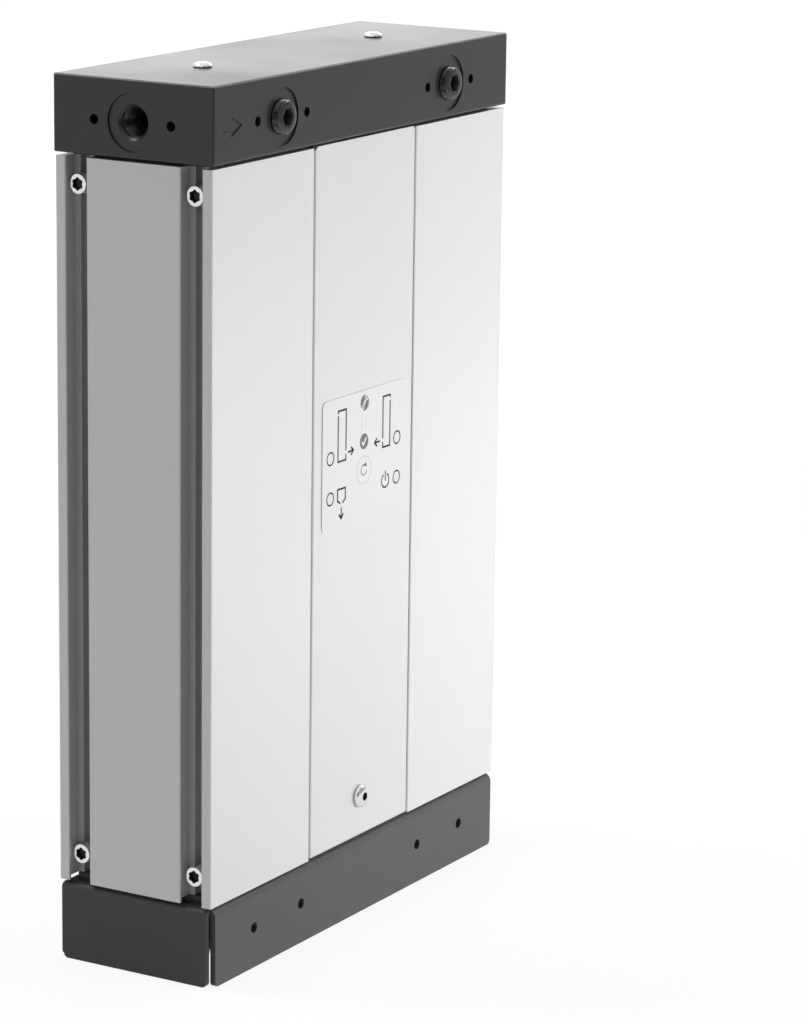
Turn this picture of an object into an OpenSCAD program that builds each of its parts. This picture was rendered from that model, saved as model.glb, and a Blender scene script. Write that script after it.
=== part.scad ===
// Twin-column desiccant air dryer. Wet compressed air enters at the left end of the head and goes
// down the riser to the inlet valve block. It dries in one column of desiccant while a little of the
// dry air blows the other column clean, and leaves at the right end of the head.
// Origin: middle of the footprint, on the floor. The front is -Y and the air flows to +X.

/* [Overall] */
// Width of the bay between the two columns
bay_w = 98; // [94:1:110]
// Height from the floor to the top of the head
body_h = 445; // [400:5:600]

/* [Head] */
// Height of the head block
head_h = 38; // [37:1:44]
// How far the head and the base stand out before and behind the columns
head_lip = 1; // [0.5:0.5:3]
// Rounding of the head's long edges
head_edge_r = 1.5; // [0.5:0.5:3]
// Distance from the top of the head down to the port centres
port_drop = 20.5; // [19:0.5:21]
// Distance from the middle to the front and rear ports
port_x = 80; // [76:1:84]
// Wall diameter of the threaded ports
port_d = 14.95; // [13:0.05:15]
// Depth of those threads below the head's faces
port_depth = 15; // [13:0.5:18]
// Diameter of the shallow spotface round a port
spotface_d = 28.5; // [26:0.5:30]
// Distance between the two fixing holes beside a port
fix_pitch = 44; // [42:1:48]
// Wall diameter of those threaded fixing holes
fix_d = 5; // [4:0.1:6]
// Bore of the air galleries along the head
gallery_d = 11; // [8:0.5:11]
// Bore that joins a front port to the rear one
cross_way_d = 12.5; // [11.5:0.5:13]

/* [Columns] */
// Bore of the desiccant chamber
bore_d = 78; // [74:0.5:80]
// Wall of a column between its bore and its sides
side_wall = 6.5; // [6:0.5:8]
// Wall of a column between its bore and its front or rear
front_wall = 6; // [5:0.5:8]
// Width of the grooves in the sides of a column
groove_w = 12.3; // [11.5:0.1:13]
// Depth of those grooves
groove_depth = 8.2; // [7.5:0.1:9]
// Distance from the front or rear of a column to the middle of a groove
groove_inset = 11.8; // [11.4:0.1:12.2]
// Height of the inserts that close a column
insert_h = 32; // [31:1:40]

/* [Covers] */
// Thickness of the front and rear covers
cover_t = 3; // [2:0.5:4]
// Gap between a cover and the columns beside it
cover_gap = 1.1; // [0.5:0.1:2]
// Distance from the sides of the control foil to the edges of its cover
foil_margin = 7.9; // [6:0.1:12]
// Height of the control foil
foil_h = 67; // [64:1:90]
// Height of the middle of the control foil above the floor
foil_z = 243.5; // [220:0.5:270]

/* [Base] */
// Height of the folded base tray
base_h = 40; // [38:1:50]
// Sheet thickness of the base tray
base_t = 3; // [2:0.5:4]
// Outer radius of the bends in the base tray
base_bend_r = 4.6; // [4.2:0.1:6]
// Distance from the corners of the base tray to the ends of its flanges
base_corner_gap = 3.4; // [3.1:0.1:6]
// Diameter of the fixing holes in the front and rear of the base tray
base_hole_d = 5.5; // [4.5:0.1:6.5]
// Height of those holes above the floor
base_hole_z = 21; // [18:1:24]

/* [Hidden] */

round_fn = 64;
ring_fn = 24;
hex_fn = 6;
over = 1;
// Play left between pieces that seat in each other
fit_gap = 0.05;
slip_gap = 0.1;

// Screws
m3_d = 3;
m3_head_d = 5.5;
m3_head_h = 2;
m3_key = 2;
m5_d = 5;
m5_head_d = 9.5;
m5_head_h = 2.75;
m5_key = 3;
m6_d = 6;
m6_clear_d = 6.6;
m6_button_d = 10.5;
m6_button_h = 3.3;
m6_button_key = 4;
m6_cap_d = 10;
m6_cap_h = 6;
lobe_d = 5.4;
lobe_notch_d = 1.7;
lobe_depth = 3;
screw_end_gap = 1.5;
head_top_screw_l = 8;
side_screw_l = 30;
insert_screw_l = 28;
base_screw_l = 16;
cover_screw_l = 12;

// Head
head_z = body_h - head_h;
port_z = body_h - port_drop;
port_flare = 1.3;
port_chamfer = 1.3;
spotface_depth = 1;
fix_depth = 10;
gallery_y = 12;
outlet_y = -gallery_y;
land_drop = 1.5;
land_x_inset = 7.5;
land_y_inset = 6;
arrow_x = 8;
arrow_depth = 0.6;
arrow_shaft_l = 7.5;
arrow_shaft_w = 4.3;
arrow_head_l = 9.5;
arrow_head_w = 9.8;
plug_d = 16.5;
plug_proud = 3.2;
plug_sink = 9;
plug_chamfer = 1.1;
plug_key = 8;
plug_key_depth = 6;

// Column profile
col_w = bore_d + 2 * side_wall;
col_d = bore_d + 2 * front_wall;
groove_y = col_d / 2 - groove_inset;
body_d = col_d + 2 * head_lip;
side_inset = 0.5;
bay_half = bay_w / 2;
col_x = bay_half + col_w / 2;
body_w = bay_w + 2 * (col_w + side_inset);
col_edge_r = 0.8;
channel_w = 5.6;
channel_depth = 4.5;
col_foot_gap = 1;
col_rim = 1.5;
col_pocket_h = 2.5;
foot_plate_h = col_foot_gap + col_pocket_h;
foot_z = base_h + foot_plate_h;
col_z = base_h + col_foot_gap;
col_top_z = head_z - land_drop;
side_screw_offset = 0.5;
side_screw_y = groove_y + side_screw_offset;
// Heights of the side screws and the air ways above the bottom insert's foot or below the top of the top one
bottom_rise = 11.6;
top_drop = 13.5;
groove_floor_x = col_w / 2 - groove_depth;

// Inserts, bed and spring
insert_r = bore_d / 2 - slip_gap;
seal_w = 3;
seal_floor_r = bore_d / 2 - seal_w;
seal_groove_h = 4.4;
seal_from_bed = 6.5;
chamber_rim = 11;
chamber_d = bore_d - 2 * chamber_rim;
chamber_h = 12;
screw_from_rim = 7;
screw_circle_r = chamber_d / 2 - m6_cap_d / 2 - screw_from_rim;
air_d = 8;
air_from_rim = 4;
air_drop_x = chamber_d / 2 - air_d / 2 - air_from_rim;
sieve_t = 1.5;
felt_t = 3;
bed_gap = 0.3;
sieve_hole_d = 5;
sieve_pitch = 9.5;
sieve_rings = 3;
bed_slack = 15;
top_insert_z = col_top_z - insert_h;
lower_sieve_z = foot_z + insert_h;
lower_felt_z = lower_sieve_z + sieve_t;
bed_z = lower_felt_z + felt_t;
upper_sieve_z = top_insert_z - bed_slack;
upper_felt_z = upper_sieve_z - felt_t;
spring_z = upper_sieve_z + sieve_t;
spring_h = top_insert_z + chamber_h - spring_z;
spring_gap = 2.5;
spring_d = chamber_d - 2 * spring_gap;
spring_wire = 3.2;
spring_turns = 3;
spring_steps = 16;
spring_fn = 6;
top_way_z = col_top_z - top_drop;
bottom_way_z = foot_z + bottom_rise;

// Transfer nipples between the valve blocks and the inserts
nipple_d = 14;
nipple_grip = 6;
nipple_seal_h = 2.6;
nipple_floor_d = 10.4;
nipple_seal_end = 3;
nipple_socket = 8;
nipple_clear = 0.2;
nipple_end_x = col_x - sqrt(pow(insert_r, 2) - pow(gallery_y + nipple_d / 2, 2)) + nipple_grip;

// Valve blocks
block_gap = 5;
block_half = bay_half - block_gap;
nipple_start_x = block_half - nipple_socket;
inlet_block_h = 44;
inlet_block_half_d = col_d / 2 - cover_t;
outlet_block_h = 30;
outlet_block_z = head_z - outlet_block_h;
inlet_block_top = base_h + inlet_block_h;
shuttle_bore_d = 10;
shuttle_l = 16;
shuttle_travel = 6;
shuttle_waist_d = 6;
shuttle_land = 4;
cage_half = (shuttle_l + shuttle_travel) / 2;
block_screw_inset = 12;
block_screw_y = inlet_block_half_d - block_screw_inset;
block_screw_edge = 14;
block_screw_x = block_half - block_screw_edge;
block_screw_sink = 8;
riser_d = 12;
riser_bore_d = 9;
riser_grip = 9;
riser_seal_d = 16.4;
riser_seal_h = 2.4;
riser_seal_in = 3;
purge_offset = 13;
purge_y = outlet_y - purge_offset;
purge_edge = 8;
outlet_block_half_d = purge_edge - purge_y;
purge_d = 6;
purge_l = 8;
purge_hole_d = 1.2;
purge_cross_edge = 22;
purge_cross_x = block_half - purge_cross_edge;
cross_d = 4;
grub_d = 6;
grub_l = 6;
grub_key = 3;

// Exhaust solenoids
coil_edge = 20;
coil_x = block_half - coil_edge;
coil_y = -10;
valve_sink = 10;
tube_d = 10;
tube_bore_d = 8.4;
tube_flange_d = 16;
tube_flange_h = 4;
tube_top = 33;
tube_core_l = 7;
seat_d = 5;
seat_h = 1;
seat_hole_d = 2.5;
seat_floor = 4;
exhaust_d = 6;
link_drop = 7;
plunger_d = 8.3;
plunger_l = 26;
plunger_tip_d = 4.5;
plunger_tip_l = 3;
plunger_spring_d = 6.4;
plunger_spring_wire = 0.7;
plunger_spring_turns = 5;
plunger_z = inlet_block_top - valve_sink + seat_h;
tube_top_z = inlet_block_top + tube_top;
plunger_spring_h = tube_top_z - tube_core_l - plunger_z - plunger_l;
coil_w = 22;
coil_depth = 30;
coil_h = 28;
coil_lift = 0.2;
coil_plug_w = 12;
coil_plug_d = 6;
coil_plug_h = 16;
nut_w = 14;
nut_h = 4.5;
silencer_thread_d = 12;
silencer_thread_l = 8;
silencer_hex_w = 18;
silencer_hex_h = 5;
silencer_d = 16;
silencer_l = 22;
silencer_hole_d = 22;

// Board, lamps and key behind the front cover
foil_w = 2 * (bay_half - cover_gap - foil_margin);
board_margin = 3;
board_w = foil_w - 2 * board_margin;
board_h = 60;
board_t = 1.6;
board_gap = 6;
board_inset = 5;
spacer_d = 6;
spacer_hole_d = 3.2;
board_front_y = -col_d / 2 + cover_t + board_gap;
board_back_y = board_front_y + board_t;
board_screw_l = 5;
foil_t = 0.4;
foil_r = 3;
lamp_d = 5;
lamp_hole_d = 5.4;
lamp_shares = [[-0.406, 0.052], [0.406, 0.052], [-0.406, -0.257], [0.406, -0.257]];
key_share = -0.116;
key_z = foil_z + key_share * foil_h;
key_d = 11;
key_hole_d = 11.8;
key_lip_d = 14;
key_lip = 1;
key_stem_d = 3.5;
key_travel = 0.4;
switch_w = 6;
switch_h = 3;
terminal_w = 22;
terminal_d = 9;
terminal_h = 10;
terminal_drop = 24.5;
terminal_z = foil_z - terminal_drop;

// Covers
cover_half = bay_half - cover_gap;
cover_foot_gap = 1;
cover_head_gap = 1;
cover_z = col_z + cover_foot_gap;
cover_top_z = head_z - cover_head_gap;
cover_edge_r = 1;
cover_corner = 2;
leg_t = 2;
hook_t = 2.2;
hook_reach = 5;
leg_stop = 34;
cover_screw_rise = 23;
cover_screw_z = base_h + cover_screw_rise;
hook_y = groove_y + groove_w / 2 - slip_gap;

// Power inlet in the rear cover
inlet_z = 130;
inlet_w = 28;
inlet_hole_w = 24;
inlet_flange = 3;
inlet_depth = 14;
inlet_cavity_w = 18;
inlet_wall = 3;
pin_d = 2.4;
pin_l = 11;
pin_spread = 5;

// Base tray
flange_corner_r = 2.5;

// Leads: points chosen by hand along each run, for the right-hand side of the bay
lead_d = 2.4;
supply_d = 3.6;
lead_fn = 8;
lead_steps = 4;
lead_gap = 0.25;
lead_tail = 6;
coil_lead_z = inlet_block_top + coil_lift + (coil_h + coil_plug_h) / 2 + lead_gap;
lead_end_y = board_back_y + terminal_d / 2;
lead_end_z = terminal_z - lead_gap;
inlet_back_y = col_d / 2 - inlet_depth - lead_gap;
coil_lead_route = [[coil_x, 8, coil_lead_z], [coil_x, 8, coil_lead_z + lead_tail], [20, 3, 145],
  [13, -12, 180], [7, -27, 206], [6, lead_end_y, lead_end_z - lead_tail],
  [6, lead_end_y, lead_end_z]];
supply_route = [[0, inlet_back_y, inlet_z], [0, inlet_back_y - lead_tail, inlet_z], [-15, 18, 150],
  [-17, 0, 180], [-4, -24, 204], [0, lead_end_y, lead_end_z - lead_tail], [0, lead_end_y, lead_end_z]];

// Flat shape with four round corners
module round_rect(w, d, r) {
  square([w - 2 * r, d], center = true);
  square([w, d - 2 * r], center = true);
  for (sx = [-1, 1], sy = [-1, 1])
    translate([sx * (w / 2 - r), sy * (d / 2 - r)])
      circle(r = r, $fn = round_fn);
}

// A piece made for the left column is mirrored for the right one
module at_column(side) {
  translate([side * col_x, 0, 0]) mirror([side > 0 ? 1 : 0, 0, 0]) children();
}

module in_both_columns() {
  for (side = [-1, 1])
    at_column(side) children();
}

module on_screw_circle() {
  for (a = [0 : 90 : 270])
    rotate([0, 0, a]) translate([screw_circle_r, 0, 0]) children();
}

module rod(d, h) {
  cylinder(d = d, h = h, $fn = round_fn);
}

// Round hole that starts over above its mouth, which is at zero
module drill(d, depth) {
  translate([0, 0, -depth]) rod(d, depth + over);
}

module hex_rod(w, h) {
  cylinder(d = w / cos(180 / hex_fn), h = h, $fn = hex_fn);
}

module box(w, d, h) {
  translate([-w / 2, -d / 2, 0]) cube([w, d, h]);
}

// Screws have their seat at zero and their shank downwards
module button_screw(d, head_d, head_h, length, key) {
  dome_r = (pow(head_d / 2, 2) + pow(head_h, 2)) / (2 * head_h);
  difference() {
    union() {
      intersection() {
        translate([0, 0, head_h - dome_r]) sphere(r = dome_r, $fn = round_fn);
        rod(head_d, head_h);
      }
      translate([0, 0, -length]) rod(d, length + head_h / 2);
    }
    translate([0, 0, head_h / 2]) hex_rod(key, head_h);
  }
}

module cap_screw(length) {
  difference() {
    union() {
      rod(m6_cap_d, m6_cap_h);
      translate([0, 0, -length]) rod(m6_d, length + over);
    }
    translate([0, 0, m6_cap_h - lobe_depth]) difference() {
      rod(lobe_d, lobe_depth + over);
      for (k = [0 : hex_fn - 1])
        rotate([0, 0, k * 360 / hex_fn]) translate([lobe_d / 2, 0, -over])
          rod(lobe_notch_d, lobe_depth + 3 * over);
    }
  }
}

// Round-section ring between two radii, centred on zero
module ring_seal(inner_r, outer_r) {
  rotate_extrude($fn = round_fn)
    translate([(inner_r + outer_r) / 2, 0])
      circle(d = outer_r - inner_r - 2 * fit_gap, $fn = ring_fn);
}

module groove_ring(inner_r, outer_r, h) {
  rotate_extrude($fn = round_fn)
    translate([inner_r, -h / 2])
      square([outer_r - inner_r, h]);
}

// Tube of flat rings joined by triangles, from a list of equal rings of points
module skin_rings(rings) {
  n = len(rings[0]);
  last = len(rings) - 1;
  points = [for (ring = rings, p = ring) p];
  sides = [for (i = [0 : last - 1], k = [0 : n - 1])
    let (a = i * n + k, b = i * n + (k + 1) % n)
      each [[a, b + n, b], [a, a + n, b + n]]];
  first_cap = [for (k = [0 : n - 1]) k];
  last_cap = [for (k = [n - 1 : -1 : 0]) last * n + k];
  polyhedron(points = points, faces = concat(sides, [first_cap, last_cap]), convexity = 8);
}

// Helical spring that stands on zero
module helix_spring(outer_d, wire, height, turns) {
  r = (outer_d - wire) / 2;
  steps = turns * spring_steps;
  skin_rings([for (i = [0 : steps])
    let (a = 360 * i / spring_steps, z = wire / 2 + (height - wire) * i / steps)
      [for (k = [0 : spring_fn - 1])
        let (t = 360 * k / spring_fn, rr = r + wire / 2 * cos(t))
          [rr * cos(a), rr * sin(a), z - wire / 2 * sin(t)]]]);
}

// Point on a smooth curve through p1 and p2, at share t of the way between them
function curve_point(p0, p1, p2, p3, t) =
  ((2 * p1) + (p2 - p0) * t + (2 * p0 - 5 * p1 + 4 * p2 - p3) * t * t
    + (3 * p1 - p0 - 3 * p2 + p3) * t * t * t) / 2;

function curve(route) =
  let (last = len(route) - 1)
    [for (i = [0 : last - 1], s = [0 : lead_steps - 1])
      curve_point(route[max(i - 1, 0)], route[i], route[i + 1], route[min(i + 2, last)], s / lead_steps),
      route[last]];

function unit(v) = v / norm(v);

// Lead of round wire along a route; no stretch of it runs along X
module lead(route, d) {
  path = curve(route);
  last = len(path) - 1;
  skin_rings([for (i = [0 : last])
    let (run = unit(path[min(i + 1, last)] - path[max(i - 1, 0)]), u = unit(cross(run, [1, 0, 0])),
      v = cross(run, u))
      [for (k = [0 : lead_fn - 1])
        let (t = 360 * k / lead_fn) path[i] + d / 2 * (u * cos(t) + v * sin(t))]]);
}

// Port with its face at zero and an air way of some depth behind its thread
module port_cut(way_d, depth) {
  drill(spotface_d, spotface_depth);
  translate([0, 0, -spotface_depth - port_chamfer])
    cylinder(d1 = port_d, d2 = port_d + 2 * port_flare, h = port_chamfer, $fn = round_fn);
  drill(port_d, port_depth);
  drill(way_d, depth);
}

module fixing_cut() {
  for (side = [-1, 1])
    translate([side * fix_pitch / 2, 0, 0]) drill(fix_d, fix_depth);
}

module on_ports(faces = [-1, 1]) {
  for (side = [-1, 1], face = faces)
    translate([side * port_x, face * body_d / 2, port_z]) rotate([-face * 90, 0, 0])
      children();
}

module arrow() {
  tip = arrow_shaft_l + arrow_head_l;
  polygon([[0, -arrow_shaft_w / 2], [arrow_shaft_l, -arrow_shaft_w / 2],
    [arrow_shaft_l, -arrow_head_w / 2], [tip, 0], [arrow_shaft_l, arrow_head_w / 2],
    [arrow_shaft_l, arrow_shaft_w / 2], [0, arrow_shaft_w / 2]]);
}

module head_blank() {
  translate([0, 0, head_z + head_h / 2]) intersection() {
    linear_extrude(head_h, center = true) round_rect(body_w, body_d, head_edge_r);
    rotate([90, 0, 0]) linear_extrude(body_d, center = true) round_rect(body_w, head_h, head_edge_r);
    rotate([90, 0, 90]) linear_extrude(body_w, center = true) round_rect(body_d, head_h, head_edge_r);
  }
  in_both_columns() translate([0, 0, col_top_z])
    box(col_w - 2 * land_x_inset, col_d - 2 * land_y_inset, land_drop + over);
}

// Air ways, drilled in from the ports and from the underside
module head_galleries() {
  translate([-port_x, gallery_y, port_z]) rotate([0, 90, 0]) rod(gallery_d, port_x + gallery_d / 2);
  translate([-gallery_d / 2, outlet_y, port_z]) rotate([0, 90, 0]) rod(gallery_d, port_x + gallery_d / 2);
  translate([0, gallery_y, head_z - over]) rod(riser_d + 2 * slip_gap, riser_grip + over);
  translate([0, gallery_y, head_z + riser_seal_in]) groove_ring(riser_d / 2, riser_seal_d / 2, riser_seal_h);
  translate([0, gallery_y, head_z]) rod(riser_bore_d, port_z - head_z);
  translate([0, outlet_y, head_z - over]) rod(riser_bore_d, port_z - head_z + over);
}

module head_block() {
  color("#45453f") difference() {
    head_blank();
    head_galleries();
    on_ports() port_cut(cross_way_d, body_d / 2);
    on_ports([-1]) fixing_cut();
    for (side = [-1, 1]) {
      translate([side * body_w / 2, 0, port_z]) rotate([0, side * 90, 0]) {
        port_cut(gallery_d, body_w / 2 - port_x);
        rotate([0, 0, 90]) fixing_cut();
      }
      translate([side * port_x, 0, body_h]) drill(m5_d + 2 * slip_gap, head_top_screw_l + screw_end_gap);
      translate([side * block_screw_x, gallery_y, head_z]) rotate([180, 0, 0])
        drill(m6_d + 2 * slip_gap, block_screw_sink + screw_end_gap);
    }
    in_both_columns() on_screw_circle() translate([0, 0, col_top_z]) rotate([180, 0, 0])
      drill(m6_d + 2 * slip_gap, insert_screw_l + chamber_h - insert_h + screw_end_gap);
    translate([-body_w / 2 + arrow_x, -body_d / 2 + arrow_depth, port_z]) rotate([90, 0, 0])
      linear_extrude(arrow_depth + over) arrow();
  }
}

module port_plugs() {
  color("#585856") on_ports() difference() {
    union() {
      translate([0, 0, -plug_sink]) rod(port_d - 2 * fit_gap, plug_sink);
      translate([0, 0, -spotface_depth - port_chamfer])
        cylinder(d1 = port_d - 2 * fit_gap, d2 = plug_d, h = port_chamfer, $fn = round_fn);
      translate([0, 0, -spotface_depth]) rod(plug_d, spotface_depth + plug_proud - plug_chamfer);
      translate([0, 0, plug_proud - plug_chamfer])
        cylinder(d1 = plug_d, d2 = plug_d - 2 * plug_chamfer, h = plug_chamfer, $fn = round_fn);
    }
    translate([0, 0, plug_proud - plug_key_depth]) hex_rod(plug_key, plug_key_depth + over);
  }
}

module head_top_screws() {
  color("#d8d8d4") for (side = [-1, 1])
    translate([side * port_x, 0, body_h])
      button_screw(m5_d, m5_head_d, m5_head_h, head_top_screw_l, m5_key);
}

// Corner of a groove's mouth taken off to a radius, with the side of the column at x = 0
module mouth_round(side) {
  translate([0, side * groove_w / 2]) difference() {
    translate([-col_edge_r, side > 0 ? 0 : -col_edge_r]) square([col_edge_r + over, col_edge_r]);
    translate([-col_edge_r, side * col_edge_r]) circle(r = col_edge_r, $fn = round_fn);
  }
}

module column_profile() {
  difference() {
    round_rect(col_w, col_d, col_edge_r);
    circle(d = bore_d, $fn = round_fn);
    for (turn = [0, 180], face = [-1, 1])
      rotate([0, 0, turn]) translate([col_w / 2, face * groove_y]) {
        square([2 * groove_depth, groove_w], center = true);
        square([2 * (groove_depth + channel_depth), channel_w], center = true);
        mouth_round(-1);
        mouth_round(1);
      }
  }
}

// Seats of the eight screws that hold a column to its inserts, with their shanks towards its axis
module on_side_screws() {
  for (z = [bottom_way_z, top_way_z], turn = [0, 180], face = [-1, 1])
    translate([0, 0, z]) rotate([0, 0, turn]) translate([groove_floor_x, face * side_screw_y, 0])
      rotate([0, 90, 0]) children();
}

module column(side) {
  at_column(side) difference() {
    translate([0, 0, col_z]) linear_extrude(col_top_z - col_z) column_profile();
    translate([0, 0, col_z - over]) box(col_w - 2 * col_rim, col_d - 2 * col_rim, col_pocket_h + over);
    on_side_screws() drill(m6_clear_d, side_screw_l);
    for (way = [[gallery_y, bottom_way_z], [outlet_y, top_way_z]])
      translate([0, way[0], way[1]]) rotate([0, 90, 0]) rod(nipple_d + 2 * nipple_clear, col_w);
  }
}

module left_column() {
  color("#cfd1d0") column(-1);
}

module right_column() {
  color("#cfd1d0") column(1);
}

module left_column_screws() {
  color("#e4e4e0") at_column(-1) on_side_screws() cap_screw(side_screw_l);
}

module right_column_screws() {
  color("#e4e4e0") at_column(1) on_side_screws() cap_screw(side_screw_l);
}

// Cover with its outside on -Y: a plate with two hooked legs that hold in the columns' inner grooves
module cover_body() {
  h = cover_top_z - cover_z;
  intersection() {
    translate([0, -col_d / 2 + cover_t, cover_z]) linear_extrude(h) difference() {
      round_rect(2 * cover_half, 2 * cover_t, cover_edge_r);
      translate([-cover_half - over, 0]) square([2 * (cover_half + over), cover_t + over]);
    }
    rotate([90, 0, 0]) linear_extrude(body_d)
      polygon([[-cover_half, cover_z], [cover_half, cover_z], [cover_half, cover_top_z - cover_corner],
        [cover_half - cover_corner, cover_top_z], [cover_corner - cover_half, cover_top_z],
        [-cover_half, cover_top_z - cover_corner]]);
  }
  for (side = [0, 1])
    mirror([side, 0, 0]) translate([cover_half - leg_t, 0, cover_z + leg_stop])
      linear_extrude(h - 2 * leg_stop) {
        translate([0, -col_d / 2 + cover_t / 2]) square([leg_t, col_d / 2 - cover_t / 2 - hook_y + hook_t]);
        translate([0, -hook_y]) square([leg_t + hook_reach, hook_t]);
      }
}

module cover_screw_cut() {
  translate([0, -col_d / 2, cover_screw_z]) rotate([90, 0, 0]) drill(m6_clear_d, 2 * cover_t);
}

module on_lamps() {
  for (share = lamp_shares)
    translate([share[0] * foil_w, -col_d / 2, foil_z + share[1] * foil_h]) rotate([90, 0, 0])
      children();
}

module front_cover() {
  color("#c6c8c8") difference() {
    cover_body();
    cover_screw_cut();
    on_lamps() drill(lamp_hole_d, 2 * cover_t);
    translate([0, -col_d / 2, key_z]) rotate([90, 0, 0]) drill(key_hole_d, 2 * cover_t);
  }
}

module rear_cover() {
  color("#c6c8c8") mirror([0, 1, 0]) difference() {
    cover_body();
    cover_screw_cut();
    translate([0, -col_d / 2, inlet_z - inlet_hole_w / 2]) box(inlet_hole_w, 4 * cover_t, inlet_hole_w);
  }
}

module cover_screws() {
  color("#dadad6") for (turn = [0, 180])
    rotate([0, 0, turn]) translate([0, -col_d / 2, cover_screw_z]) rotate([90, 0, 0])
      button_screw(m6_d, m6_button_d, m6_button_h, cover_screw_l, m6_button_key);
}

module control_foil() {
  color("#d6d8d8") translate([0, -col_d / 2, foil_z]) rotate([90, 0, 0])
    linear_extrude(foil_t) round_rect(foil_w, foil_h, foil_r);
}

// Sheet folded down on two sides, seen along the fold: the plate is on top
module folded_profile(w) {
  intersection() {
    difference() {
      round_rect(w, 2 * base_h, base_bend_r);
      round_rect(w - 2 * base_t, 2 * (base_h - base_t), base_bend_r - base_t);
    }
    translate([-w / 2, 0]) square([w, base_h]);
  }
}

// Folded sheet that runs along X, with its lower corners rounded
module folded_sheet(w, l) {
  intersection() {
    rotate([90, 0, 90]) linear_extrude(l, center = true) folded_profile(w);
    rotate([90, 0, 0]) translate([0, base_h]) linear_extrude(w, center = true)
      round_rect(l, 2 * base_h, flange_corner_r);
  }
}

module base_tray() {
  color("#3b3b38") difference() {
    union() {
      folded_sheet(body_d, body_w - 2 * base_corner_gap);
      rotate([0, 0, 90]) folded_sheet(body_w, body_d - 2 * base_corner_gap);
    }
    for (port = [-1, 1], side = [-1, 1])
      translate([port * port_x + side * fix_pitch / 2, 0, base_hole_z]) rotate([90, 0, 0])
        translate([0, 0, -body_d]) rod(base_hole_d, 2 * body_d);
    in_both_columns() on_screw_circle() translate([0, 0, base_h]) drill(m6_clear_d, 2 * base_t);
    for (face = [-1, 1]) {
      translate([0, face * block_screw_y, base_h]) drill(m6_clear_d, 2 * base_t);
      translate([face * coil_x, coil_y, base_h]) drill(silencer_hole_d, 2 * base_t);
    }
  }
}

module foot_plates() {
  color("#2a2a2a") in_both_columns() difference() {
    translate([0, 0, base_h])
      box(col_w - 2 * land_x_inset, col_d - 2 * land_y_inset, foot_plate_h);
    on_screw_circle() translate([0, 0, foot_z]) drill(m6_clear_d, 2 * foot_plate_h);
  }
}

module base_screws() {
  color("#c9c9c4") in_both_columns() on_screw_circle()
    translate([0, 0, base_h - base_t]) rotate([180, 0, 0]) cap_screw(base_screw_l);
}

// Insert that stands on zero with its bed chamber upwards; the air way comes in from +X
module insert(way_y, way_z, screw_hole_d, screw_hole_l) {
  difference() {
    cylinder(r = insert_r, h = insert_h, $fn = round_fn);
    translate([0, 0, insert_h]) drill(chamber_d, chamber_h);
    translate([0, 0, insert_h - seal_from_bed]) groove_ring(seal_floor_r, bore_d, seal_groove_h);
    on_screw_circle() rotate([180, 0, 0]) drill(screw_hole_d, screw_hole_l);
    for (turn = [0, 180], face = [-1, 1])
      translate([0, 0, way_z]) rotate([0, 0, turn]) translate([groove_floor_x, face * side_screw_y, 0])
        rotate([0, 90, 0]) drill(m6_d + 2 * slip_gap, side_screw_l + screw_end_gap);
    translate([air_drop_x, way_y, way_z]) {
      rod(air_d, insert_h);
      rotate([0, 90, 0]) rod(air_d, col_w);
    }
    translate([col_x - nipple_end_x, way_y, way_z]) rotate([0, 90, 0])
      rod(nipple_d + 2 * slip_gap, col_w);
  }
}

module top_inserts() {
  color("#b9bbbd") in_both_columns() translate([0, 0, col_top_z]) mirror([0, 0, 1])
    insert(outlet_y, top_drop, m6_clear_d, insert_h);
}

module bottom_inserts() {
  color("#b9bbbd") in_both_columns() translate([0, 0, foot_z])
    insert(gallery_y, bottom_rise, m6_d + 2 * slip_gap,
      base_screw_l - base_t - foot_plate_h + screw_end_gap);
}

module insert_screws() {
  color("#c9c9c4") in_both_columns() on_screw_circle()
    translate([0, 0, top_insert_z + chamber_h]) rotate([180, 0, 0]) cap_screw(insert_screw_l);
}

module insert_seals() {
  color("#161616") in_both_columns()
    for (z = [top_insert_z + seal_from_bed, lower_sieve_z - seal_from_bed])
      translate([0, 0, z]) ring_seal(seal_floor_r, bore_d / 2);
}

module bed_disc(z, h) {
  in_both_columns() translate([0, 0, z]) rod(bore_d - 2 * bed_gap, h);
}

module desiccant_beds() {
  color("#e9e6dc") bed_disc(bed_z, upper_felt_z - bed_z);
}

module upper_felts() {
  color("#f2f1ec") bed_disc(upper_felt_z, felt_t);
}

module lower_felts() {
  color("#f2f1ec") bed_disc(lower_felt_z, felt_t);
}

// Disc with hexagonal holes in rings round the middle one
module sieve(z) {
  in_both_columns() translate([0, 0, z]) difference() {
    rod(bore_d - 2 * bed_gap, sieve_t);
    for (ring = [0 : sieve_rings], k = [0 : max(hex_fn * ring - 1, 0)])
      rotate([0, 0, 360 * k / max(hex_fn * ring, 1)]) translate([ring * sieve_pitch, 0, -over])
        hex_rod(sieve_hole_d, sieve_t + 2 * over);
  }
}

module upper_sieves() {
  color("#b4b4b0") sieve(upper_sieve_z);
}

module lower_sieves() {
  color("#b4b4b0") sieve(lower_sieve_z);
}

module bed_springs() {
  color("#9a9a98") in_both_columns() translate([0, 0, spring_z])
    helix_spring(spring_d, spring_wire, spring_h, spring_turns);
}

// Air way along X from one column to the other, with the shuttle's cage in the middle
module shuttle_way(y, z) {
  translate([0, y, z]) rotate([0, 90, 0]) {
    translate([0, 0, -cage_half]) rod(shuttle_bore_d, 2 * cage_half);
    translate([0, 0, -block_half]) rod(air_d, 2 * block_half);
    for (side = [0, 1])
      mirror([0, 0, side]) translate([0, 0, nipple_start_x]) rod(nipple_d + 2 * slip_gap, block_half);
  }
}

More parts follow.
